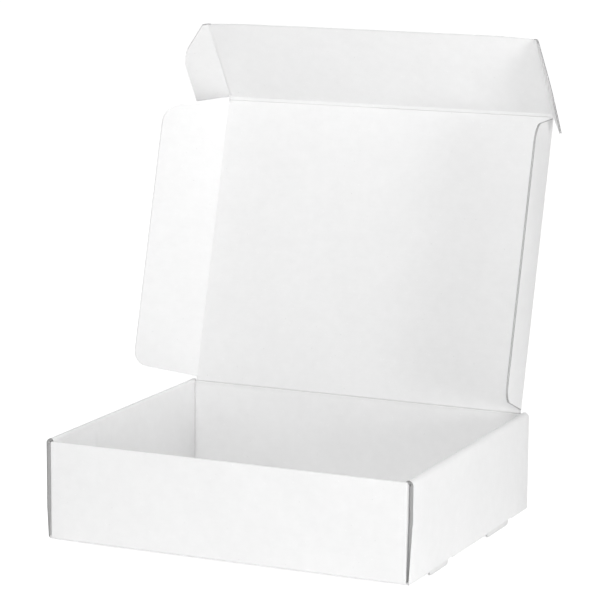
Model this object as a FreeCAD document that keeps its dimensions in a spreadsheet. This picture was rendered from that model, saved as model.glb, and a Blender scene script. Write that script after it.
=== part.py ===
import FreeCAD, Part
import os
import re

# A die-cut box of thin fluted board, folded up from one sheet, with its lid thrown open.
# Millimetres. X runs to the viewer's right, Y to the back, Z up. The origin is the middle of the
# base's underside. The box stands on the ends of four lock tabs, a little below that.

Vector = FreeCAD.Vector
Rotation = FreeCAD.Rotation
X_WAY = Vector(1, 0, 0)
Y_WAY = Vector(0, 1, 0)
Z_WAY = Vector(0, 0, 1)

SIZES = [
    ("board_thickness", 1.5, "thin fluted board"),
    ("outer_width", 260.0, "outside, from side wall to side wall"),
    ("outer_depth", 210.5, "outside, from front wall to back wall"),
    ("tab_drop", 4.7, "how far the lock tabs reach below the base"),
    ("side_wall_height", 68.2, "base underside to the top of the rolled side walls"),
    ("front_wall_height", 66.2, "base underside to the cut edge of the front wall"),
    ("hinge_height", 67.3, "base underside to the lid's fold line"),
    ("fold_radius", 1.8, "outside of a square fold"),
    ("corner_gap", 0.5, "between a side wall and the corner flap inside it"),
    ("roll_gap", 0.15, "between that corner flap and the inner side panel"),
    ("inner_panel_gap", 0.5, "inner side panel to the front and back walls"),
    ("inner_panel_lift", 0.2, "inner side panel above the base"),
    ("side_edge_inset_low", 0.2, "side wall's front edge behind the front face, at its foot"),
    ("side_edge_inset_high", 2.6, "the same at the top of the slant"),
    ("side_edge_inset_top", 3.1, "the same above the slant"),
    ("side_slant_height", 38.5, "base underside to the top of the slant"),
    ("corner_flap_length", 62.0, "corner flap from the wall's outside face"),
    ("corner_flap_lift", 1.5, "corner flap above the fold of the base"),
    ("corner_flap_top_drop", 2.0, "corner flap below the edge of its wall"),
    ("corner_flap_round", 8.0, "corner flap's free corners"),
    ("front_tab_start", 41.5, "front face to the front lock tab"),
    ("front_tab_length", 32.0, "front lock tab"),
    ("rear_tab_start", 144.0, "front face to the rear lock tab"),
    ("rear_tab_length", 39.7, "rear lock tab"),
    ("tab_round", 3.2, "lower corners of a lock tab"),
    ("slot_side_room", 0.3, "slot beside a lock tab, across the base"),
    ("slot_front_room", 2.5, "slot in front of a lock tab"),
    ("slot_rear_room", 0.8, "slot behind a lock tab"),
    ("slot_rise", 1.5, "how far a slot cuts up into the side wall's fold"),
    ("bead_setback", 1.2, "fold line to the end of the panel that it hangs on"),
    ("side_fold_room", 0.15, "folded dust flap to the rolled wall beside it"),
    ("lid_length", 207.8, "lid's fold line to the tuck flap's fold line"),
    ("front_strip_width", 2.8, "between the two front creases of the lid"),
    ("score_width", 0.8, "pressed crease across the lid"),
    ("score_depth", 0.3, "depth of that crease"),
    ("tuck_length", 65.6, "tuck flap from its fold line"),
    ("tuck_round", 1.5, "tuck flap's free corners"),
    ("dust_flap_width", 47.6, "dust flap from its fold line"),
    ("dust_flap_start", 2.6, "lid's fold line to the dust flap, at its fold"),
    ("dust_flap_start_free", 6.0, "the same at its free edge"),
    ("dust_flap_end_room", 3.0, "far end of a dust flap to the tuck flap's fold line, at its fold"),
    ("dust_flap_end_room_free", 14.5, "the same at its free edge"),
    ("dust_flap_round_near", 13.0, "free corner near the box"),
    ("dust_flap_round_far", 14.5, "free corner near the tuck flap"),
    ("ear_width", 25.2, "ear from its fold line"),
    ("ear_start", 1.0, "tuck flap's fold line to the ear"),
    ("ear_slant_length", 25.1, "the ear's slant, along the tuck flap's side"),
    ("ear_tip_width", 4.0, "ear at the tuck flap's free edge"),
    ("ear_round", 28.0, "round between the free edge and the slant"),
    ("ear_round_near", 1.5, "ear's corner near the lid"),
    ("lid_angle", 105.2, "lid, from closed"),
    ("tuck_angle", 49.0, "tuck flap, from flat with the lid"),
    ("left_dust_flap_angle", 38.7, "left dust flap, from flat with the lid"),
    ("right_dust_flap_angle", 83.3, "right dust flap, from flat with the lid"),
    ("left_ear_angle", 18.6, "left ear, from flat with the tuck flap"),
    ("right_ear_angle", 60.4, "right ear, from flat with the tuck flap"),
    # These follow from the sizes above.
    ("half_width", "=outer_width / 2", "middle to a side wall's outside"),
    ("half_depth", "=outer_depth / 2", "middle to the front wall's outside"),
    ("wall_fold", "=half_width - board_thickness - corner_gap", "middle to a corner flap's outside"),
    ("roll_width", "=3 * board_thickness + corner_gap + roll_gap", "rolled side wall, all through"),
    ("roll_inside", "=half_width - roll_width", "middle to a rolled wall's inner face"),
    ("hinge_back", "=half_depth - board_thickness / 2", "lid's fold line behind the middle"),
    ("back_wall_height", "=hinge_height - bead_setback", "base underside to the top of the back wall"),
    ("side_fold", "=roll_inside - side_fold_room - board_thickness / 2", "middle to the side fold lines"),
    ("lid_score_length", "=lid_length - front_strip_width", "lid's fold line to its first front crease"),
    ("dust_flap_end", "=lid_length - dust_flap_end_room", "lid's fold line to the end of a dust flap"),
    ("dust_flap_end_free", "=lid_length - dust_flap_end_room_free", "the same at its free edge"),
    ("ear_straight", "=tuck_length - ear_slant_length", "tuck flap's fold line to the ear's slant"),
    ("panel_half_width", "=side_fold - bead_setback", "middle to the lid's side ends"),
]

doc = FreeCAD.newDocument("FoldedBox")
sheet = doc.addObject("Spreadsheet::Sheet", "Sizes")
for row, (alias, value, note) in enumerate(SIZES, start=1):
    sheet.set("A%d" % row, alias)
    sheet.set("B%d" % row, str(value))
    sheet.set("C%d" % row, note)
    sheet.setAlias("B%d" % row, alias)
doc.recompute()


def formula(text):
    """The same formula with each size named as a cell of the sheet."""
    return re.sub(r"[a-z][a-z_]+", lambda found: "Sizes." + found.group(0), text)


def bind(thing, **formulas):
    for name, text in formulas.items():
        thing.setExpression(name, formula(text))
    return thing


def move(thing, x, y, z):
    thing.setExpression("Placement.Base.x", formula(x))
    thing.setExpression("Placement.Base.y", formula(y))
    thing.setExpression("Placement.Base.z", formula(z))
    return thing


def block(name, x, y, z, length, width, height):
    made = bind(doc.addObject("Part::Box", name), Length=length, Width=width, Height=height)
    return move(made, x, y, z)


def quarter(name, centre, axis, start, length):
    """A square fold: a quarter of a ring that turns about axis, from the direction start."""
    rings = []
    for part, radius in (("Outer", "fold_radius"), ("Inner", "fold_radius - board_thickness")):
        ring = bind(doc.addObject("Part::Cylinder", name + part), Radius=radius, Height=length)
        ring.Angle = 90
        ring.Placement.Rotation = Rotation(start, axis.cross(start), axis, "ZXY")
        rings.append(move(ring, *centre))
    return cut(name, rings[0], rings[1])


def bead(name, radius, length, x, y, z, axis):
    rod = bind(doc.addObject("Part::Cylinder", name), Radius=radius, Height=length)
    rod.Placement.Rotation = Rotation(Z_WAY, axis)
    return move(rod, x, y, z)


def cut(name, base, tool):
    made = doc.addObject("Part::Cut", name)
    made.Base = base
    made.Tool = tool
    return made


def join(name, pieces):
    made = doc.addObject("Part::MultiFuse", name)
    made.Shapes = pieces
    made.Refine = True
    return made


def rounded(name, base, corners):
    """Rounds straight edges, each found by a point in the middle of it."""
    doc.recompute()
    chosen = []
    for point, alias in corners:
        distances = [edge.CenterOfMass.distanceToPoint(point) for edge in base.Shape.Edges]
        nearest = distances.index(min(distances))
        if distances[nearest] > 0.01:
            raise ValueError("no edge of %s lies at %s" % (name, point))
        radius = float(sheet.get(alias))
        chosen.append((nearest + 1, radius, radius))
    made = doc.addObject("Part::Fillet", name)
    made.Base = base
    made.Edges = chosen
    return made


def size(alias):
    return float(sheet.get(alias))


# The tray: the base, four walls, the rolled side walls with their lock tabs, and the corner flaps.
base_plate = block("BasePlate", "fold_radius - wall_fold - corner_gap - board_thickness",
                   "fold_radius - half_depth", "0",
                   "2 * (half_width - fold_radius)", "2 * (half_depth - fold_radius)",
                   "board_thickness")
tray_pieces = []
slots = []
wall_foot = "fold_radius"

# Front and back walls, each with its fold along the base.
wall_span = "2 * (wall_fold - fold_radius)"
wall_start = "fold_radius - wall_fold"
for name, outside, inside, top, start in (
        ("Front", "-half_depth", "-half_depth", "front_wall_height", -Y_WAY),
        ("Back", "half_depth", "half_depth - board_thickness", "back_wall_height", -Z_WAY)):
    tray_pieces.append(block(name + "Wall", wall_start, inside, wall_foot, wall_span,
                             "board_thickness", top + " - fold_radius"))
    middle = outside + (" + fold_radius" if name == "Front" else " - fold_radius")
    tray_pieces.append(quarter(name + "Fold", (wall_start, middle, wall_foot), X_WAY, start,
                               wall_span))

# Each wall's ends turn in by a square fold and run along inside the rolled side walls.
flap_foot = "fold_radius + corner_flap_lift"
flap_straight = "corner_flap_length - fold_radius"
for name, side, front, top, start in (
        ("FrontLeft", -1, True, "front_wall_height", -X_WAY),
        ("FrontRight", 1, True, "front_wall_height", -Y_WAY),
        ("BackLeft", -1, False, "back_wall_height", Y_WAY),
        ("BackRight", 1, False, "back_wall_height", X_WAY)):
    height = top + " - corner_flap_top_drop - (" + flap_foot + ")"
    middle_x = "wall_fold - fold_radius" if side > 0 else "fold_radius - wall_fold"
    middle_y = "fold_radius - half_depth" if front else "half_depth - fold_radius"
    tray_pieces.append(quarter(name + "Turn", (middle_x, middle_y, flap_foot), Z_WAY, start, height))
    plate_x = "wall_fold - board_thickness" if side > 0 else "-wall_fold"
    plate_y = middle_y if front else "half_depth - corner_flap_length"
    plate = block(name + "Plate", plate_x, plate_y, flap_foot, "board_thickness", flap_straight,
                  height)
    free_y = (size("corner_flap_length") - size("half_depth")) * (1 if front else -1)
    centre_x = side * (size("wall_fold") - size("board_thickness") / 2)
    low = size("fold_radius") + size("corner_flap_lift")
    high = size(top) - size("corner_flap_top_drop")
    tray_pieces.append(rounded(name + "Flap", plate, [
        (Vector(centre_x, free_y, low), "corner_flap_round"),
        (Vector(centre_x, free_y, high), "corner_flap_round")]))

# Side walls: an outer panel, a roll over the top, and an inner panel that locks into the base.
for name, side in (("Left", -1), ("Right", 1)):
    foot_y = "side_edge_inset_low - half_depth"
    foot_span = "2 * (half_depth - side_edge_inset_low)"
    top_y = "side_edge_inset_top - half_depth"
    top_span = "2 * (half_depth - side_edge_inset_top)"
    outer_x = "half_width - board_thickness" if side > 0 else "-half_width"
    ring_x = "half_width - fold_radius" if side > 0 else "fold_radius - half_width"
    tray_pieces.append(quarter(name + "BaseFold", (ring_x, foot_y, wall_foot), Y_WAY,
                               X_WAY if side > 0 else -Z_WAY, foot_span))
    # The panel's lower part narrows towards the top of the slant.
    slanted = bind(doc.addObject("Part::Wedge", name + "SlantedPanel"),
                   Xmin="side_edge_inset_low - half_depth", Xmax="half_depth - side_edge_inset_low",
                   X2min="side_edge_inset_high - half_depth",
                   X2max="half_depth - side_edge_inset_high",
                   Ymax="side_slant_height - fold_radius", Zmax="board_thickness",
                   Z2max="board_thickness")
    slanted.Ymin = 0
    slanted.Zmin = 0
    slanted.Z2min = 0
    slanted.Placement.Rotation = Rotation(Y_WAY, Z_WAY, X_WAY, "ZXY")
    tray_pieces.append(move(slanted, outer_x, "0", wall_foot))
    tray_pieces.append(block(name + "UpperPanel", outer_x, top_y, "side_slant_height",
                             "board_thickness", top_span,
                             "side_wall_height - side_slant_height - fold_radius"))
    roll_bend = "side_wall_height - fold_radius"
    tray_pieces.append(quarter(name + "RollOuter", (ring_x, top_y, roll_bend), Y_WAY,
                               Z_WAY if side > 0 else -X_WAY, top_span))
    inner_ring_x = "roll_inside + fold_radius" if side > 0 else "-roll_inside - fold_radius"
    tray_pieces.append(quarter(name + "RollInner", (inner_ring_x, top_y, roll_bend), Y_WAY,
                               -X_WAY if side > 0 else Z_WAY, top_span))
    cap_x = inner_ring_x if side > 0 else ring_x
    tray_pieces.append(block(name + "RollCap", cap_x, top_y, "side_wall_height - board_thickness",
                             "roll_width - 2 * fold_radius", top_span, "board_thickness"))
    inner_x = "roll_inside" if side > 0 else "-roll_inside - board_thickness"
    inner_y = "board_thickness + inner_panel_gap - half_depth"
    tray_pieces.append(block(name + "InnerPanel", inner_x, inner_y, "board_thickness + inner_panel_lift",
                             "board_thickness",
                             "2 * (half_depth - board_thickness - inner_panel_gap)",
                             "side_wall_height - fold_radius - board_thickness - inner_panel_lift"))
    for place in ("front", "rear"):
        label = name + place.capitalize()
        start_y = place + "_tab_start - half_depth"
        tab = block(label + "TabBlank", inner_x, start_y, "-tab_drop", "board_thickness",
                    place + "_tab_length", "tab_drop + board_thickness + inner_panel_lift")
        middle_of_board = side * (size("roll_inside") + size("board_thickness") / 2)
        first = size(place + "_tab_start") - size("half_depth")
        lowest = -size("tab_drop")
        tray_pieces.append(rounded(label + "Tab", tab, [
            (Vector(middle_of_board, first, lowest), "tab_round"),
            (Vector(middle_of_board, first + size(place + "_tab_length"), lowest), "tab_round")]))
        slot_x = "roll_inside - slot_side_room" if side > 0 else "-half_width"
        slots.append(block(label + "Slot", slot_x, start_y + " - slot_front_room", "-tab_drop",
                           "roll_width + slot_side_room",
                           place + "_tab_length + slot_front_room + slot_rear_room",
                           "tab_drop + slot_rise"))

# The slots go through the base and the foot of the side walls before the tabs come through them.
slotted = []
tabs_and_inner = []
for piece in tray_pieces:
    if "Tab" in piece.Name or "Inner" in piece.Name:
        tabs_and_inner.append(piece)
    else:
        slotted.append(piece)
shell = join("Shell", [base_plate] + slotted)
all_slots = join("Slots", slots)
tray = join("Tray", [cut("SlottedShell", shell, all_slots)] + tabs_and_inner)
tray.Label = "tray"

# The moving panels are drawn as they lie when the box is shut: the lid flat towards the front,
# its inner face down, each one's own fold line through the origin.
half_board = "board_thickness / 2"

# The lid, with the first of its two front creases pressed across the inner face.
lid_panel = block("LidPanel", "-panel_half_width", "bead_setback - lid_length", "-" + half_board,
                  "2 * panel_half_width", "lid_length - bead_setback", "board_thickness")
lid_crease = block("LidCrease", "-panel_half_width", "-lid_score_length - score_width / 2",
                   "-" + half_board, "2 * panel_half_width", "score_width", "score_depth")
lid_bead = bead("LidBead", half_board, "2 * panel_half_width", "-panel_half_width", "0", "0", X_WAY)
lid = join("Lid", [cut("CreasedPanel", lid_panel, lid_crease), lid_bead])
lid.Label = "lid"

# The tuck flap beyond the second crease.
tuck_panel = block("TuckPanel", "-panel_half_width", "-tuck_length", "-" + half_board,
                   "2 * panel_half_width", "tuck_length", "board_thickness")
tuck_rounded = rounded("TuckRounded", tuck_panel, [
    (Vector(side * size("panel_half_width"), -size("tuck_length"), 0), "tuck_round")
    for side in (-1, 1)])
tuck_bead = bead("TuckBead", half_board, "2 * panel_half_width", "-panel_half_width", "0", "0", X_WAY)
tuck = join("Tuck", [tuck_rounded, tuck_bead])
tuck.Label = "tuck_flap"

# A dust flap on each side of the lid and an ear on each side of the tuck flap.
dust_flaps = {}
ears = {}
for name, side in (("Left", -1), ("Right", 1)):
    outward = side * X_WAY
    facing = Rotation(Y_WAY, outward, Y_WAY.cross(outward), "ZXY")
    thickness_side = "-" + half_board if side < 0 else half_board
    blank = bind(doc.addObject("Part::Wedge", name + "DustBlank"),
                 Xmin="-dust_flap_end", Xmax="-dust_flap_start",
                 X2min="-dust_flap_end_free", X2max="-dust_flap_start_free",
                 Ymax="dust_flap_width", Zmax="board_thickness", Z2max="board_thickness")
    blank.Ymin = 0
    blank.Zmin = 0
    blank.Z2min = 0
    blank.Placement.Rotation = facing
    move(blank, "0", "0", thickness_side)
    free = side * size("dust_flap_width")
    panel = rounded(name + "DustPanel", blank, [
        (Vector(free, -size("dust_flap_start_free"), 0), "dust_flap_round_near"),
        (Vector(free, -size("dust_flap_end_free"), 0), "dust_flap_round_far")])
    rod = bead(name + "DustBead", half_board, "dust_flap_end - dust_flap_start",
               "0", "-dust_flap_end", "0", Y_WAY)
    dust_flaps[name] = join(name + "DustFlap", [panel, rod])
    dust_flaps[name].Label = "dust_flap_" + name.lower()

    ear_x = "0" if side > 0 else "-ear_width"
    lower = block(name + "EarLower", ear_x, "-ear_straight", "-" + half_board,
                  "ear_width", "ear_straight - ear_start", "board_thickness")
    # The slant is drawn from the free corner of the tuck flap back to the straight part.
    tip = bind(doc.addObject("Part::Wedge", name + "EarTip"),
               Xmax="ear_width", X2max="ear_tip_width",
               Ymax="tuck_length - ear_straight", Zmax="board_thickness", Z2max="board_thickness")
    tip.Xmin = 0
    tip.X2min = 0
    tip.Ymin = 0
    tip.Zmin = 0
    tip.Z2min = 0
    tip.Placement.Rotation = Rotation(outward, -Y_WAY, outward.cross(-Y_WAY), "ZXY")
    tip_level = half_board if side > 0 else "-" + half_board
    move(tip, "0", "-ear_straight", tip_level)
    ear_blank = join(name + "EarBlank", [lower, tip])
    free = side * size("ear_width")
    panel = rounded(name + "EarPanel", ear_blank, [
        (Vector(free, -size("ear_straight"), 0), "ear_round"),
        (Vector(free, -size("ear_start"), 0), "ear_round_near")])
    rod = bead(name + "EarBead", half_board, "tuck_length - ear_start", "0", "-tuck_length", "0",
               Y_WAY)
    ears[name] = join(name + "Ear", [panel, rod])
    ears[name].Label = "ear_" + name.lower()


def turn(x, y, z, axis, angle):
    """One fold as a placement: the fold line's place, then the turn about it."""
    spot = "vector(%s; %s; %s)" % (formula(x), formula(y), formula(z))
    way = "vector(%d; %d; %d)" % tuple(axis)
    return "placement(%s; rotation(%s; %s))" % (spot, way, formula(angle))


# Each fold carries the panels that hang on it.
lid_place = turn("0", "hinge_back", "hinge_height", -X_WAY, "lid_angle")
tuck_place = lid_place + " * " + turn("0", "-lid_length", "0", X_WAY, "tuck_angle")
places = {
    lid: lid_place,
    tuck: tuck_place,
    dust_flaps["Left"]: lid_place + " * " + turn("-side_fold", "0", "0", -Y_WAY,
                                                 "left_dust_flap_angle"),
    dust_flaps["Right"]: lid_place + " * " + turn("side_fold", "0", "0", Y_WAY,
                                                  "right_dust_flap_angle"),
    ears["Left"]: tuck_place + " * " + turn("-side_fold", "0", "0", -Y_WAY, "left_ear_angle"),
    ears["Right"]: tuck_place + " * " + turn("side_fold", "0", "0", Y_WAY, "right_ear_angle"),
}
for panel, place in places.items():
    panel.setExpression("Placement", place)
doc.recompute()

nodes = [tray] + list(places)
for thing in doc.Objects:
    if "Invalid" in thing.State or "Error" in thing.State:
        raise RuntimeError("%s did not recompute: %s" % (thing.Name, thing.State))
os.makedirs("parts", exist_ok=True)
for node in nodes:
    shape = node.Shape
    if shape.isNull() or not shape.isValid() or len(shape.Solids) != 1:
        raise RuntimeError("%s is not one valid solid" % node.Label)
    box = shape.BoundBox
    print("%-16s volume %10.1f  x %7.2f %7.2f  y %7.2f %7.2f  z %7.2f %7.2f" % (
        node.Label, shape.Volume, box.XMin, box.XMax, box.YMin, box.YMax, box.ZMin, box.ZMax))
for node in nodes:
    node.Shape.exportStep("parts/%s.step" % node.Label)
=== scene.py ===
import bpy, bmesh
from math import atan, cos, pi, radians, sin, tan
from mathutils import Matrix, Vector


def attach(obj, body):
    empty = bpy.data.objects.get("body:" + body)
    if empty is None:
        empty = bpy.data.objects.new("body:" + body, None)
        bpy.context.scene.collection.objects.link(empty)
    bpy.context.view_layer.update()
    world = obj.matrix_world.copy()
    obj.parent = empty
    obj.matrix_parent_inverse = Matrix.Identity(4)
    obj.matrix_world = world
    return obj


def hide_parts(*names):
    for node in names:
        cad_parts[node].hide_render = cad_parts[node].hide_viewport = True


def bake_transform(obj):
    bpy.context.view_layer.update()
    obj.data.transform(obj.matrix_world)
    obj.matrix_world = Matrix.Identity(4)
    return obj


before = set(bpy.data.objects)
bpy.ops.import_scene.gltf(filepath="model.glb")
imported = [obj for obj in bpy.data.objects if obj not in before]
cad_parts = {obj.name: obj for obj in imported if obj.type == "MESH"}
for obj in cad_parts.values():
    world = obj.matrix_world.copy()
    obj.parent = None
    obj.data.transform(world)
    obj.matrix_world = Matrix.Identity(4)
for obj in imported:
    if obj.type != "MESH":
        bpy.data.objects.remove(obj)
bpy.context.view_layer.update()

# Sizes in metres, as the folded sheet has them.
board = 0.0015
half_width = 0.130
half_depth = 0.10525
fold_outside = 0.0018
side_top = 0.0682
front_top = 0.0662
back_top = 0.0660
roll_inside = 0.12485
corner_flap = 0.062
tab_drop = 0.0047
hinge_y = 0.1045
hinge_z = 0.0673
side_fold = 0.12395
lid_length = 0.2078
tuck_length = 0.0656
flute_pitch = 0.0033

# Turns in degrees, as the box stands: the lid from shut, the tuck flap from the lid.
lid_open = 105.2
tuck_bend = 49.0

# Two places nearer than this count as one, and vertices nearer than the weld are merged.
close = 1e-5
weld = 1e-6

# A face looks along an axis when this much of its normal does, or leans that way when this much does.
facing = 0.9
leaning = 0.7

# Edges that turn by more degrees than the first may be softened; those below the second look round.
sharp_turn = 50
smooth_turn = 25

# The sheet's own map has this many units to the metre.
map_scale = 10

X = Vector((1, 0, 0))
Y = Vector((0, 1, 0))
Z = Vector((0, 0, 1))


# Paper, and its raw cut edge: greyish of itself and darkened further as painted shade.
def node(tree, kind, **values):
    """A shader node with these settings and socket values."""
    made = tree.nodes.new(kind)
    for name, value in values.items():
        if name in made.inputs:
            made.inputs[name].default_value = value
        else:
            setattr(made, name, value)
    return made


def remap(tree, value, before, after):
    """Takes a value from one span to another, and holds it between the new span's ends."""
    made = node(tree, "ShaderNodeMapRange")
    for name, number in zip(("From Min", "From Max", "To Min", "To Max"), before + after):
        made.inputs[name].default_value = number
    tree.links.new(value, made.inputs["Value"])
    return made.outputs["Result"]


def reckon(tree, operation, first, second):
    made = node(tree, "ShaderNodeMath", operation=operation)
    tree.links.new(first, made.inputs[0])
    tree.links.new(second, made.inputs[1])
    return made.outputs["Value"]


# Places of a colour mix's sockets: its two colours and its result.
mix_a, mix_b, mix_result = 6, 7, 2

# Radians that Blender's wave bands turn in one unit of their map.
band_turn = 20


def paper(name, grey, roughness, speck_strength):
    """Clay-coated paper where the grey is pale; where it is dark, the board's raw middle, greyish of
    itself and darkened further as painted shade.
    """
    material = bpy.data.materials.new(name)
    material.use_nodes = True
    tree = material.node_tree
    link = tree.links.new
    shader = tree.nodes["Principled BSDF"]
    shader.inputs["Roughness"].default_value = roughness
    shader.inputs["Specular IOR Level"].default_value = 0.25
    sheet = node(tree, "ShaderNodeUVMap", uv_map="Sheet")

    def pattern(kind, **settings):
        made = node(tree, kind, **settings)
        link(sheet.outputs["UV"], made.inputs["Vector"])
        return made

    # Cloudy tone of the clay coat, in patches from a few millimetres to a few centimetres.
    cloud = pattern("ShaderNodeTexNoise", Scale=2.2, Detail=5.0, Roughness=0.55)
    patch = pattern("ShaderNodeTexNoise", Scale=14.0, Detail=3.0, Roughness=0.6)
    tones = node(tree, "ShaderNodeMix", data_type="RGBA", blend_type="MIX", Factor=0.5)
    link(cloud.outputs["Fac"], tones.inputs[mix_a])
    link(patch.outputs["Fac"], tones.inputs[mix_b])
    shade = remap(tree, tones.outputs[mix_result], (0.3, 0.7), (0.955, 1.0))
    # Grey specks, each with its own strength, about half a millimetre wide.
    specks = pattern("ShaderNodeTexVoronoi", Scale=26.0, Randomness=1.0)
    near = remap(tree, specks.outputs["Distance"], (0.05, 0.11), (1.0, 0.0))
    strength = remap(tree, specks.outputs["Color"], (0.62, 1.0), (0.0, speck_strength))
    specked = reckon(tree, "SUBTRACT", shade, reckon(tree, "MULTIPLY", near, strength))
    # Pale fibres between the specks.
    fibres = pattern("ShaderNodeTexVoronoi", Scale=17.0, Randomness=1.0)
    pale = remap(tree, fibres.outputs["Distance"], (0.04, 0.10), (0.05, 0.0))
    base = node(tree, "ShaderNodeMix", data_type="RGBA", blend_type="MULTIPLY", Factor=1.0)
    base.inputs[mix_a].default_value = (grey, grey, grey, 1)
    link(reckon(tree, "ADD", specked, pale), base.inputs[mix_b])
    link(base.outputs[mix_result], shader.inputs["Base Color"])
    # Fluting that shows faintly through the liner, the paper's own tooth, and shallow dents.
    flutes = pattern("ShaderNodeTexWave", wave_type="BANDS", bands_direction="Y", wave_profile="SIN",
                     Scale=2 * pi / (band_turn * map_scale * flute_pitch), Distortion=0.4)
    flutes.inputs["Detail Scale"].default_value = 0.6
    tooth = pattern("ShaderNodeTexNoise", Scale=240.0, Detail=4.0, Roughness=0.6)
    dents = pattern("ShaderNodeTexNoise", Scale=3.0, Detail=2.0, Roughness=0.5)
    normal = None
    for source, height in ((flutes, 0.00003), (tooth, 0.00002), (dents, 0.0014)):
        bump = node(tree, "ShaderNodeBump", Strength=0.6, Distance=height)
        link(source.outputs["Fac"], bump.inputs["Height"])
        if normal is not None:
            link(normal, bump.inputs["Normal"])
        normal = bump.outputs["Normal"]
    link(normal, shader.inputs["Normal"])
    return material


# The two dark papers floor cut-edge hollows: the core's own grey, darkened further as painted shade.
papers = (paper("White board", 0.93, 0.62, 0.2), paper("Cut board core and painted shade", 0.48, 0.9, 0.2),
          paper("Flute ends and painted shade", 0.60, 0.9, 0.2))

# Places of the papers in every piece's list.
white, core_grey_and_painted_shade, flute_grey_and_painted_shade = 0, 1, 2


# Hand tools for the board.
def nothing_selected():
    if bpy.context.object and bpy.context.object.mode != "OBJECT":
        bpy.ops.object.mode_set(mode="OBJECT")
    bpy.ops.object.select_all(action="DESELECT")


def only(piece):
    """Selects this piece alone and makes it the active one."""
    nothing_selected()
    piece.select_set(True)
    bpy.context.view_layer.objects.active = piece


def flat_piece(name, x, y, z):
    """A plane across two of the three spans; the third is one level."""
    nothing_selected()
    spans = [span if isinstance(span, tuple) else (span, span) for span in (x, y, z)]
    middle = [(low + high) / 2 for low, high in spans]
    width, depth, height = [high - low for low, high in spans]
    turned, scale = (0, 0, 0), (width, depth, 1)
    if width == 0:
        turned, scale = (0, pi / 2, 0), (height, depth, 1)
    if depth == 0:
        turned, scale = (pi / 2, 0, 0), (width, height, 1)
    bpy.ops.mesh.primitive_plane_add(size=1, location=middle, rotation=turned)
    piece = bpy.context.object
    piece.name = name
    piece.scale = scale
    bpy.ops.object.transform_apply(location=True, rotation=True, scale=True)
    for material in papers:
        piece.data.materials.append(material)
    bpy.ops.object.mode_set(mode="EDIT")
    return piece


def open_mesh():
    return bmesh.from_edit_mesh(bpy.context.edit_object.data)


def pick(kind, test):
    """Selects the vertices, edges or faces that pass the test and nothing else, and counts them."""
    bpy.ops.mesh.select_mode(type={"verts": "VERT", "edges": "EDGE", "faces": "FACE"}[kind])
    bpy.ops.mesh.select_all(action="DESELECT")
    mesh = open_mesh()
    count = 0
    for part in getattr(mesh, kind):
        if test(part):
            part.select_set(True)
            count += 1
    mesh.select_flush_mode()
    bmesh.update_edit_mesh(bpy.context.edit_object.data)
    return count


def middle_of(edge):
    return (edge.verts[0].co + edge.verts[1].co) / 2


def runs_along(edge, axis):
    return abs((edge.verts[0].co - edge.verts[1].co).normalized().dot(axis)) > facing


def move(way):
    bpy.ops.transform.translate(value=way)


def trim(point, normal):
    """Cuts away what lies beyond a plane."""
    bpy.ops.mesh.select_all(action="SELECT")
    bpy.ops.mesh.bisect(plane_co=point, plane_no=normal, clear_outer=True)


def score(point, normal):
    """Divides the faces along a plane."""
    bpy.ops.mesh.select_all(action="SELECT")
    bpy.ops.mesh.bisect(plane_co=point, plane_no=normal)


def round_corner(x, y, offset, steps=8):
    pick("verts", lambda v: abs(v.co.x - x) < 2 * close and abs(v.co.y - y) < 2 * close)
    bpy.ops.mesh.bevel(offset=offset, segments=steps, affect="VERTICES")


def face_outwards():
    bpy.ops.mesh.select_all(action="SELECT")
    bpy.ops.mesh.normals_make_consistent(inside=False)


def thicken():
    """Gives the flat board on the plane its thickness, upwards."""
    bpy.ops.mesh.select_all(action="SELECT")
    bpy.ops.mesh.extrude_region_move(TRANSFORM_OT_translate={"value": Z * board})
    face_outwards()


def across(vector, axis):
    """What is left of a vector without its reach along the axis."""
    return vector - axis * vector.dot(axis)


class Run:
    """Where the board's growing edge is: its middle, the way ahead and the side it folds to."""

    def __init__(self, at, ahead, inside):
        self.at, self.ahead, self.inside = Vector(at), Vector(ahead), Vector(inside)

    def on(self, distance):
        bpy.ops.mesh.extrude_region_move(TRANSFORM_OT_translate={"value": self.ahead * distance})
        self.at += self.ahead * distance

    def fold(self, degrees, radius, steps=8, pressed=0.0, face=-1):
        """Bends the board's middle plane round, towards the inside, at this radius.

        A pressed fold has a line sunk in the middle of its inner face, or of its outer face
        where face is 1."""
        centre = self.at + self.inside * radius
        axis = self.ahead.cross(self.inside)
        bpy.ops.mesh.spin(steps=steps, angle=-radians(degrees), center=centre, axis=axis)
        spoke = self.at - centre
        half_way = (Matrix.Rotation(radians(degrees / 2), 3, axis) @ spoke).normalized()
        turn = Matrix.Rotation(radians(degrees), 3, axis)
        self.at = centre + turn @ spoke
        self.ahead = turn @ self.ahead
        self.inside = turn @ self.inside
        if pressed:
            spot = centre + half_way * (radius + face * board / 2)
            pick("verts", lambda v: across(v.co - spot, axis).length < 2 * close)
            move(half_way * -face * pressed)
            pick("faces", lambda f: across(f.calc_center_median() - self.at, axis).length < 2 * close)

    def ends(self, way, low, high):
        """Sets how far the growing edge reaches along this way, from low to high."""
        places = [corner.co.dot(way) for corner in open_mesh().verts if corner.select]
        least, most = min(places), max(places)
        stretch = (high - low) / (most - least)
        bpy.ops.transform.resize(value=[1 + (stretch - 1) * part for part in way],
                                 center_override=way * (least + most) / 2)
        move(way * ((low + high) - (least + most)) / 2)


def hollow(test, lips=0.00028, depth=0.0010, floor_paper=core_grey_and_painted_shade):
    """A cut edge: the two liners stand as lips, with the fluting's hollow between them. The hollow's floor
    takes the given paper; the dark ones add painted shade to the core's own grey.
    """
    if pick("faces", test):
        for face in open_mesh().faces:
            if face.select:
                face.material_index = floor_paper
        bpy.ops.mesh.inset(thickness=lips, depth=-depth)


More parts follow.
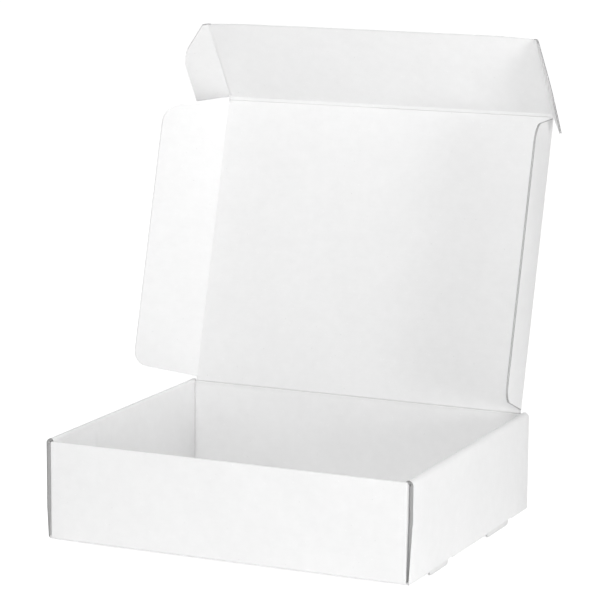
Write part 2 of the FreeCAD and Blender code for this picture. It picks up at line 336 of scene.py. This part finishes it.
def soften(test, width=0.00012):
    """Takes the sharpness off the sharp edges that pass the test."""
    def wanted(edge):
        return len(edge.link_faces) == 2 and edge.calc_face_angle() > radians(sharp_turn) and test(edge)

    if pick("edges", wanted):
        bpy.ops.mesh.bevel(offset=width, segments=2, affect="EDGES")


def done(piece, spread):
    """Closes the mesh, lays the flat sheet's own map on it, and smooths its bends."""
    bpy.ops.mesh.select_all(action="SELECT")
    bpy.ops.mesh.remove_doubles(threshold=weld)
    bpy.ops.mesh.fill_holes(sides=0)
    bpy.ops.mesh.normals_make_consistent(inside=False)
    bpy.ops.object.mode_set(mode="OBJECT")
    layer = piece.data.uv_layers[0] if piece.data.uv_layers else piece.data.uv_layers.new(name="Sheet")
    layer.name = "Sheet"
    for face in piece.data.polygons:
        for corner in face.loop_indices:
            place = piece.data.vertices[piece.data.loops[corner].vertex_index].co
            layer.data[corner].uv = spread(place, face.normal)
    only(piece)
    bpy.ops.object.shade_smooth_by_angle(angle=radians(smooth_turn))
    return piece


def as_lid(place, normal):
    """Flutes run across the lid, the tuck flap and their side flaps."""
    return place.x * map_scale, place.y * map_scale


def as_tray(place, normal):
    """Flutes run across the base and the front and back walls, and up the side walls."""
    if abs(normal.x) > leaning:
        return place.z * map_scale, place.y * map_scale
    if abs(normal.y) > leaning:
        return place.x * map_scale, place.z * map_scale
    return place.x * map_scale, place.y * map_scale


def into_place(piece, place):
    nothing_selected()
    piece.matrix_world = place
    only(piece)
    bpy.ops.object.transform_apply(location=True, rotation=True, scale=True)
    return piece


def one_piece(name, parts):
    """Joins the parts under this name."""
    nothing_selected()
    for part in parts:
        part.select_set(True)
    bpy.context.view_layer.objects.active = parts[0]
    bpy.ops.object.join()
    parts[0].name = parts[0].data.name = name
    return parts[0]


def stand_for(node_name):
    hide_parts(node_name)


# The tray: base plate, front and back walls, rolled side walls.

# Each lock tab's span along its side wall, from its start behind the front face and its length.
tab_spans = [(start - half_depth, start - half_depth + length)
             for start, length in ((0.0415, 0.0320), (0.1440, 0.0397))]


def slot_cutters():
    """Blocks the size of the slots that the lock tabs come through."""
    play_ahead, play_behind = 0.0025, 0.0008
    inner, outer = roll_inside - 0.0003, half_width + 0.001
    level, height = -0.0015, 0.006
    made = []
    for side in (-1, 1):
        for tab_front, tab_rear in tab_spans:
            low, high = tab_front - play_ahead, tab_rear + play_behind
            nothing_selected()
            middle = (side * (inner + outer) / 2, (low + high) / 2, level)
            bpy.ops.mesh.primitive_cube_add(size=1, location=middle)
            block = bpy.context.object
            block.scale = (outer - inner, high - low, height)
            bpy.ops.object.transform_apply(location=True, rotation=True, scale=True)
            made.append(block)
    return one_piece("slot_cutters", made)


def cut_slots(piece, cutters):
    only(piece)
    cutting = piece.modifiers.new("Slots", "BOOLEAN")
    cutting.operation = "DIFFERENCE"
    cutting.solver = "EXACT"
    cutting.object = cutters
    bpy.ops.object.modifier_apply(modifier=cutting.name)
    bpy.ops.object.mode_set(mode="EDIT")


def base_board(cutters):
    half_x, half_y = half_width - fold_outside, half_depth - fold_outside
    base = flat_piece("base_board", (-half_x, half_x), (-half_y, half_y), 0.0)
    thicken()
    bpy.ops.object.mode_set(mode="OBJECT")
    cut_slots(base, cutters)
    return done(base, as_tray)


def end_wall(name, side, top, ends):
    """The front or back wall, up from the base, with its two corner flaps at these ends."""
    start = side * (half_depth - fold_outside)
    inner_face = side * (half_depth - board)
    flap_edge = side * (half_depth - corner_flap)
    flap_corner = 0.008
    foot_gap, head_strip = 0.0015, 0.002
    flap_foot, flap_head = fold_outside + foot_gap, top - head_strip
    bend_round, top_lips = 0.0003, 0.0003
    wall = flat_piece(name, ends, start, (0.0, board))
    run = Run((0, start, board / 2), Y * side, Z)
    pick("faces", lambda f: True)
    run.fold(90, fold_outside - board / 2)
    run.on(flap_foot - run.at.z)
    run.on(flap_head - run.at.z)
    run.on(head_strip)
    bpy.ops.mesh.select_all(action="SELECT")
    bpy.ops.mesh.remove_doubles(threshold=weld)
    face_outwards()
    corners = [(end, 1 if end > 0 else -1) for end in ends]
    for end, turn in corners:
        score((end - turn * board, 0, 0), X)
    for end, turn in corners:
        pick("faces", lambda f: abs(f.calc_center_median().y - inner_face) < close
             and f.calc_center_median().x * turn > end * turn - board
             and flap_foot < f.calc_center_median().z < flap_head)
        flap = Run((end - turn * board / 2, inner_face, (flap_foot + flap_head) / 2), -Y * side, Z)
        flap.on(corner_flap - board)
    pick("edges", lambda e: min(abs(middle_of(e).x - end) for end in ends) < close
         and abs(middle_of(e).y - side * half_depth) < close)
    bpy.ops.mesh.bevel(offset=bend_round, segments=3, affect="EDGES")
    pick("edges", lambda e: abs(middle_of(e).y - flap_edge) < close and runs_along(e, X))
    bpy.ops.mesh.bevel(offset=flap_corner, segments=6, affect="EDGES")
    hollow(lambda f: f.normal.z > facing and abs(f.calc_center_median().z - top) < close,
           top_lips, top_lips, white)
    soften(lambda e: abs(middle_of(e).y - start) > 2 * close)
    return done(wall, as_tray)


def rolled_wall(name, side, cutters, front_edge, squeeze, spread, sag):
    """A side wall: up, over the top in two folds, and down to its lock tabs.

    front_edge lists how far the wall's front edge stands behind the front face, by height. The
    crossing folds squeeze the board thinner at the front edge's foot; above it the cut edge has
    spread open. The roll sags a little towards the front."""
    start = side * (half_width - fold_outside)
    front, rear = front_edge[0][1] - half_depth, half_depth + 0.0008
    shoulder, inner_shoulder, inner_start = 0.0034, 0.0016, 0.0008
    inner_play = 0.0005
    inner_foot = 0.0017
    squeezed_length, squeezed_height = 0.009, 0.003
    outer_layer, middle_layer = half_width - 0.0006, half_width - 0.0013
    spread_top, sag_foot = 0.066, 0.06
    edge_zone, edge_foot = 0.0045, 0.0001
    tab_corner = 0.0032
    wall = flat_piece(name, start, (front, rear), (0.0, board))
    run = Run((start, 0, board / 2), X * side, Z)
    pick("faces", lambda f: True)
    run.fold(90, fold_outside - board / 2)
    for height, inset in front_edge[1:]:
        run.on(height - run.at.z)
        run.ends(Y, inset - half_depth, rear)
    run.on(side_top - shoulder - run.at.z)
    run.fold(90, shoulder - board / 2, steps=12)
    run.on(half_width - roll_inside - shoulder - inner_shoulder)
    run.fold(90, inner_shoulder - board / 2)
    run.on(inner_start)
    run.ends(Y, board + inner_play - half_depth, half_depth - board - inner_play)
    run.on(run.at.z - inner_foot)
    score((0, front + squeezed_length, 0), Y)
    for inner, outer, share in ((outer_layer, half_width + close, 1.0), (middle_layer, outer_layer, 0.5)):
        pick("verts", lambda v: inner < v.co.x * side < outer and v.co.z < squeezed_height
             and v.co.y < front + close)
        move((-side * squeeze * share, 0, 0))
    pick("verts", lambda v: abs(v.co.x * side - half_width + board) < close
         and squeezed_height < v.co.z < spread_top and v.co.y < edge_zone - half_depth)
    move((-side * spread, 0, 0))
    pick("verts", lambda v: v.co.z > sag_foot and v.co.y < 0)
    move((0, 0, -sag))
    face_outwards()
    bpy.ops.object.mode_set(mode="OBJECT")
    cut_slots(wall, cutters)
    for tab_front, tab_rear in tab_spans:
        score((0, tab_front, 0), Y)
        score((0, tab_rear, 0), Y)
    for low, high in tab_spans:
        pick("faces", lambda f: f.normal.z < -facing and abs(f.calc_center_median().z - inner_foot) < close
             and abs(f.calc_center_median().x) < roll_inside + board
             and low < f.calc_center_median().y < high)
        tab = Run((side * (roll_inside + board / 2), (low + high) / 2, inner_foot), -Z, Y)
        tab.on(inner_foot + tab_drop)
        pick("edges", lambda e: abs(middle_of(e).z + tab_drop) < close and runs_along(e, X)
             and min(abs(middle_of(e).y - low), abs(middle_of(e).y - high)) < close)
        bpy.ops.mesh.bevel(offset=tab_corner, segments=5, affect="EDGES")
    # The side wall's front and rear cut edges get the dark core paper: painted shade of the gap beside the
    # end walls, over the core's own grey.
    hollow(lambda f: abs(f.normal.y) > leaning and abs(f.calc_center_median().y) > half_depth - edge_zone
           and f.calc_center_median().z > edge_foot)
    soften(lambda e: abs(middle_of(e).x - start) > 2 * close)
    return done(wall, as_tray)


def folded_tray():
    cutters = slot_cutters()
    parts = [base_board(cutters),
             end_wall("front_wall", -1, front_top, ends=(-0.1262, 0.1267)),
             end_wall("back_wall", 1, back_top, ends=(-0.12785, 0.12785)),
             rolled_wall("right_roll", 1, cutters, ((0, 0.0002), (0.0385, 0.0026), (0.0391, 0.0031)),
                         squeeze=0.0013, spread=0.0007, sag=0.0012),
             rolled_wall("left_roll", -1, cutters, ((0, 0.0020), (0.0220, 0.0012), (0.0392, 0.0012)),
                         squeeze=0.0005, spread=0.0012, sag=0.0)]
    bpy.data.objects.remove(cutters)
    return one_piece("folded_tray", parts)


tray = folded_tray()
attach(tray, "tray")
stand_for("tray")

# Places of the moving panels, each drawn flat with its fold line through the origin.
hinge = Vector((0, hinge_y, hinge_z))
lid_place = Matrix.Translation(hinge) @ Matrix.Rotation(radians(lid_open), 4, -X)
tuck_place = (lid_place @ Matrix.Translation((0, -lid_length, 0))
              @ Matrix.Rotation(radians(tuck_bend), 4, X))

# How far from a crease its bend begins.
lap = 0.0010

# Half widths of the lid and the tuck flap, beside their side flaps and at their creases, and where
# the dust flaps' folds begin and end along the lid.
narrow = side_fold - lap - 0.0012
wide = side_fold + 0.0002
notch_near = 0.0026
notch_far = lid_length - 0.0030

# The front creases run a little aslant, nearer the hinge at their left end by this much.
aslant = 0.0012


def bend_radius(setback, degrees):
    """Radius of a bend that starts this far before the corner of its two straight legs."""
    return setback / tan(radians(degrees) / 2)


def widen(run):
    """Steps the growing edge out to the panel's full width, almost at once."""
    step = 0.00002
    run.on(step)
    run.ends(X, -wide, wide)


def lid_panel():
    """The lid, narrowed beside the dust flaps, whose own boards run on over the side folds."""
    hinge_bend = lid_open - 90
    hinge_tail, pressed_line = 0.0003, 0.0009
    crease_start = lid_length - 0.00275
    panel = flat_piece("lid_board", (-narrow, narrow), (-notch_far, -notch_near), -board / 2)
    thicken()
    pick("faces", lambda f: f.normal.y > facing)
    run = Run((0, -notch_near, 0), Y, Z)
    widen(run)
    run.on(-lap - run.at.y)
    run.fold(hinge_bend, bend_radius(lap, hinge_bend), steps=6, pressed=pressed_line, face=1)
    run.on(hinge_tail)
    pick("faces", lambda f: f.normal.y < -facing)
    run = Run((0, -notch_far, 0), -Y, -Z)
    widen(run)
    run.on(run.at.y + crease_start)
    pick("verts", lambda v: v.co.x < 0 and v.co.y < -notch_far + close)
    move((0, aslant, 0))
    return into_place(done(panel, as_lid), lid_place)


lid = lid_panel()
stand_for("lid")
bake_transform(lid)


def tuck_panel():
    """The tuck flap, with the narrow strip between the lid's two front creases."""
    strip, first, second = 0.0027, 12.0, 37.0
    first_setback, second_setback, tail = 0.0005, 0.0007, 0.00027
    pressed_line, column_reach, free_edge_zone = 0.0006, 0.0030, 0.002
    begin = strip * sin(radians(first)) / sin(radians(tuck_bend)) + second_setback
    columns = (-0.1, -0.05, 0, 0.05, 0.1)
    bow, bow_end = 0.0010, 0.11
    peak, peak_middle, peak_reach = 0.0004, 0.025, 0.08
    corner, lips, hollow_depth = 0.0012, 0.0003, 0.0008
    panel = flat_piece("tuck_board", (-narrow, narrow), (-tuck_length, -begin), -board / 2)
    for x in columns:
        score((x, 0, 0), X)
    # The free edge bows out between its ends, most of all right of the middle.
    pick("verts", lambda v: abs(v.co.y + tuck_length) < close and abs(v.co.x) < bow_end)
    move((0, -bow, 0))
    pick("verts", lambda v: v.co.y < -tuck_length + close and abs(v.co.x - peak_middle) < peak_reach)
    move((0, -peak, 0))
    for side in (-1, 1):
        round_corner(side * narrow, -tuck_length, corner, steps=3)
    thicken()
    hollow(lambda f: f.normal.y < -leaning, lips, hollow_depth, white)
    pick("faces", lambda f: f.normal.y > facing and abs(f.calc_center_median().y + begin) < close)
    run = Run((0, -begin, 0), Y, -Z)
    widen(run)
    run.fold(second, bend_radius(second_setback, second), steps=6)
    run.on(strip - second_setback - first_setback)
    run.fold(first, bend_radius(first_setback, first), steps=4, pressed=pressed_line)
    run.on(tail)
    lidwards = Vector((0, cos(radians(tuck_bend)), -sin(radians(tuck_bend))))
    for x in (-wide, *columns):
        pick("verts", lambda v: abs(v.co.x - x) < column_reach and v.co.y > -begin - close)
        move(lidwards * aslant * (wide - x) / (2 * wide))
    soften(lambda e: abs(middle_of(e).y + tuck_length) < free_edge_zone)
    return into_place(done(panel, as_lid), tuck_place)


tuck = tuck_panel()
stand_for("tuck_flap")
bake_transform(tuck)


# The flaps at the lid's and the tuck flap's sides, drawn flat and then folded on.
def fluting(side, edge, first, last):
    """The wavy middle paper that shows along an edge cut across the flutes."""
    strip_middle, strip_width = 0.0012, 0.0022
    swing, paper_thickness = 0.00062, 0.00018
    rows = 2 * round((last - first) / flute_pitch)
    nothing_selected()
    bpy.ops.mesh.primitive_grid_add(x_subdivisions=2, y_subdivisions=rows, size=1,
                                    location=(side * (edge - strip_middle), -(first + last) / 2, 0))
    strip = bpy.context.object
    strip.scale = (strip_width, last - first, 1)
    bpy.ops.object.transform_apply(location=True, rotation=True, scale=True)
    bpy.ops.object.mode_set(mode="EDIT")
    step = (last - first) / rows
    for parity, height in ((0, swing), (1, -swing)):
        pick("verts", lambda v: round((v.co.y + last) / step) % 2 == parity)
        move((0, 0, height))
    bpy.ops.object.mode_set(mode="OBJECT")
    for name, kind, settings in (("Wave", "SUBSURF", {"levels": 2, "render_levels": 2}),
                                 ("Paper", "SOLIDIFY", {"thickness": paper_thickness, "offset": 0})):
        modifier = strip.modifiers.new(name, kind)
        for key, value in settings.items():
            setattr(modifier, key, value)
        bpy.ops.object.modifier_apply(modifier=name)
    bpy.ops.object.mode_set(mode="EDIT")
    return done(strip, as_lid)


def dust_outline(side):
    """A dust flap drawn flat, and the part of its free edge that shows the fluting."""
    width = 0.0476
    far = notch_far - (aslant if side < 0 else 0)
    near_free, far_free = 0.0060, lid_length - 0.0145
    near_round, far_round = 0.0108, 0.0145
    wave_start, wave_end = near_free + 0.0125, far_free - 0.0130
    offcut = 0.001
    span = tuple(sorted((side * lap, side * width)))
    flap = flat_piece("dust_board", span, (-far - offcut, 0), -board / 2)
    trim((0, -notch_near, 0), Vector((side * (near_free - notch_near), width, 0)).normalized())
    trim((0, -far, 0), Vector((side * (far - far_free), -width, 0)).normalized())
    for free, radius, slant in ((near_free, near_round, near_free - notch_near),
                                (far_free, far_round, far - far_free)):
        round_corner(side * width, -free, radius * tan((pi / 2 - atan(slant / width)) / 2))
    return flap, (side, width, wave_start, wave_end)


def ear_outline(side, start, overhang):
    """An ear drawn flat, and the part of its free edge that shows the fluting.

    start is its distance from the tuck flap's fold, and overhang is how much further back than
    that its free corner reaches."""
    width, straight, tip = 0.0252, 0.0405, 0.0040
    edge_round, corner_round, corner_zone = 0.028, 0.0008, 0.002
    wave_start, wave_end = 0.0030, 0.0035 + 8 * flute_pitch
    span = tuple(sorted((side * lap, side * width)))
    flap = flat_piece("ear_board", span, (-tuck_length, -start), -board / 2)
    trim((side * width, -straight, 0),
         Vector((side * (tuck_length - straight), -(width - tip), 0)).normalized())
    bend = atan((width - tip) / (tuck_length - straight))
    round_corner(side * width, -straight, edge_round * tan(bend / 2), steps=10)
    pick("verts", lambda v: abs(v.co.x - side * width) < close and v.co.y > -corner_zone)
    move((0, overhang, 0))
    round_corner(side * width, overhang - start, corner_round, steps=4)
    return flap, (side, width, wave_start, wave_end)


def folded_on(name, outline, side, degrees, panel_place):
    """Gives a drawn flap its thickness, cut edges and fold, and stands it at its panel's side."""
    flap, fluted_edge = outline
    lips, hollow_depth = 0.00025, 0.0009
    pressed_line, tail = 0.0003, 0.0012
    crease_zone, softness = 0.002, 0.00008
    thicken()
    # The flap's cut edges get the flute-ends paper: painted shade inside the flute openings, over the
    # middle paper's own grey.
    hollow(lambda f: abs(f.normal.z) < 0.5 and f.normal.x * side > -0.5, lips, hollow_depth, flute_grey_and_painted_shade)
    pick("faces", lambda f: f.normal.x * side < -facing
         and abs(f.calc_center_median().x - side * lap) < close)
    run = Run((side * lap, 0, 0), -X * side, -Z)
    run.fold(degrees, bend_radius(lap, degrees), steps=6, pressed=pressed_line)
    run.on(tail)
    soften(lambda e: middle_of(e).x * side > crease_zone, softness)
    done(flap, as_lid)
    flap = one_piece(name, [flap, fluting(*fluted_edge)])
    return into_place(flap, panel_place @ Matrix.Translation((side * side_fold, 0, 0))
                      @ Matrix.Rotation(radians(degrees), 4, Y * side))


def hang(flap, body):
    """Hides the model's part that the flap stands for, and bakes into its mesh the flap's place, turned
    and bent on its panel's side crease.
    """
    stand_for(body)
    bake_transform(flap)


for side, degrees, word in ((-1, 38.7, "left"), (1, 83.3, "right")):
    dust_flap = folded_on("dust_board_" + word, dust_outline(side), side, degrees, lid_place)
    hang(dust_flap, "dust_flap_" + word)

for side, degrees, start, overhang, word in ((-1, 18.6, -0.0009, -0.0006, "left"),
                                             (1, 60.4, 0.0010, 0.0002, "right")):
    ear = folded_on("ear_board_" + word, ear_outline(side, start, overhang), side, degrees, tuck_place)
    hang(ear, "ear_" + word)


# Floor, lamps, surroundings and camera.
box_middle = Vector((0, 0, 0.15))


def floor():
    """A matt floor that looks as white as the surroundings to the camera."""
    nothing_selected()
    bpy.ops.mesh.primitive_plane_add(size=12, location=(0, 0, -tab_drop))
    ground = bpy.context.object
    ground.name = "Floor"
    material = bpy.data.materials.new("Pale floor")
    material.use_nodes = True
    tree = material.node_tree
    tree.nodes.clear()
    paint = node(tree, "ShaderNodeBsdfDiffuse", Color=(0.9, 0.9, 0.9, 1))
    glow = node(tree, "ShaderNodeEmission", Color=(1, 1, 1, 1))
    rays = node(tree, "ShaderNodeLightPath")
    both = node(tree, "ShaderNodeAddShader")
    out = node(tree, "ShaderNodeOutputMaterial")
    tree.links.new(remap(tree, rays.outputs["Is Camera Ray"], (0, 1), (0.12, 0.72)),
                   glow.inputs["Strength"])
    tree.links.new(paint.outputs["BSDF"], both.inputs[0])
    tree.links.new(glow.outputs["Emission"], both.inputs[1])
    tree.links.new(both.outputs["Shader"], out.inputs["Surface"])
    ground.data.materials.append(material)


def lamp(name, place, size, watts):
    """A round lamp, aimed at the middle of the open box."""
    made = bpy.data.lights.new(name, "AREA")
    made.shape = "DISK"
    made.size = size
    made.energy = watts
    lamp_object = bpy.data.objects.new(name, made)
    bpy.context.scene.collection.objects.link(lamp_object)
    way = box_middle - Vector(place)
    lamp_object.rotation_euler = way.to_track_quat("-Z", "Y").to_euler()
    lamp_object.location = place


def surroundings():
    """White all round to the camera and in reflections, and dimmer as a light."""
    world = bpy.data.worlds.new("Studio")
    bpy.context.scene.world = world
    world.use_nodes = True
    tree = world.node_tree
    tree.nodes.clear()
    light = node(tree, "ShaderNodeBackground", Color=(1, 1, 1, 1))
    rays = node(tree, "ShaderNodeLightPath")
    out = node(tree, "ShaderNodeOutputWorld")
    seen = reckon(tree, "MAXIMUM", rays.outputs["Is Camera Ray"], rays.outputs["Is Glossy Ray"])
    tree.links.new(remap(tree, seen, (0, 1), (0.38, 1.0)), light.inputs["Strength"])
    tree.links.new(light.outputs["Background"], out.inputs["Surface"])


def camera():
    """Stands where the photograph was taken from, with its angle of view."""
    azimuth, elevation, roll = radians(24.4135), radians(10.6551), radians(0.3632)
    target, distance = Vector((0.0088161, 0, 0.1510542)), 1.92311
    picture_pixels, focal_pixels, sensor = 610, 2894.15, 36
    back = Vector((sin(azimuth) * cos(elevation), -cos(azimuth) * cos(elevation), sin(elevation)))
    right = Vector((cos(azimuth), sin(azimuth), 0))
    up = back.cross(right)
    rolled_right = cos(roll) * right + sin(roll) * up
    rolled_up = cos(roll) * up - sin(roll) * right
    eye = target + back * distance
    lens = bpy.data.cameras.new("Camera")
    lens.sensor_width = sensor
    lens.lens = focal_pixels * sensor / picture_pixels
    lens.clip_end = 50
    taker = bpy.data.objects.new("Camera", lens)
    bpy.context.scene.collection.objects.link(taker)
    taker.matrix_world = Matrix((
        (rolled_right.x, rolled_up.x, back.x, eye.x),
        (rolled_right.y, rolled_up.y, back.y, eye.y),
        (rolled_right.z, rolled_up.z, back.z, eye.z),
        (0, 0, 0, 1)))
    bpy.context.scene.camera = taker


floor()
lamp("Key", (1.2, -0.4, 0.2), 0.4, 4.6)
lamp("Front", (0.3, -1.4, 0.3), 0.6, 1.3)
lamp("High", (0.4, -1.2, 1.2), 0.8, 9.0)
lamp("Fill", (-1.0, -1.0, 0.8), 0.8, 1.9)
surroundings()
camera()
bpy.context.scene.view_settings.view_transform = "Standard"
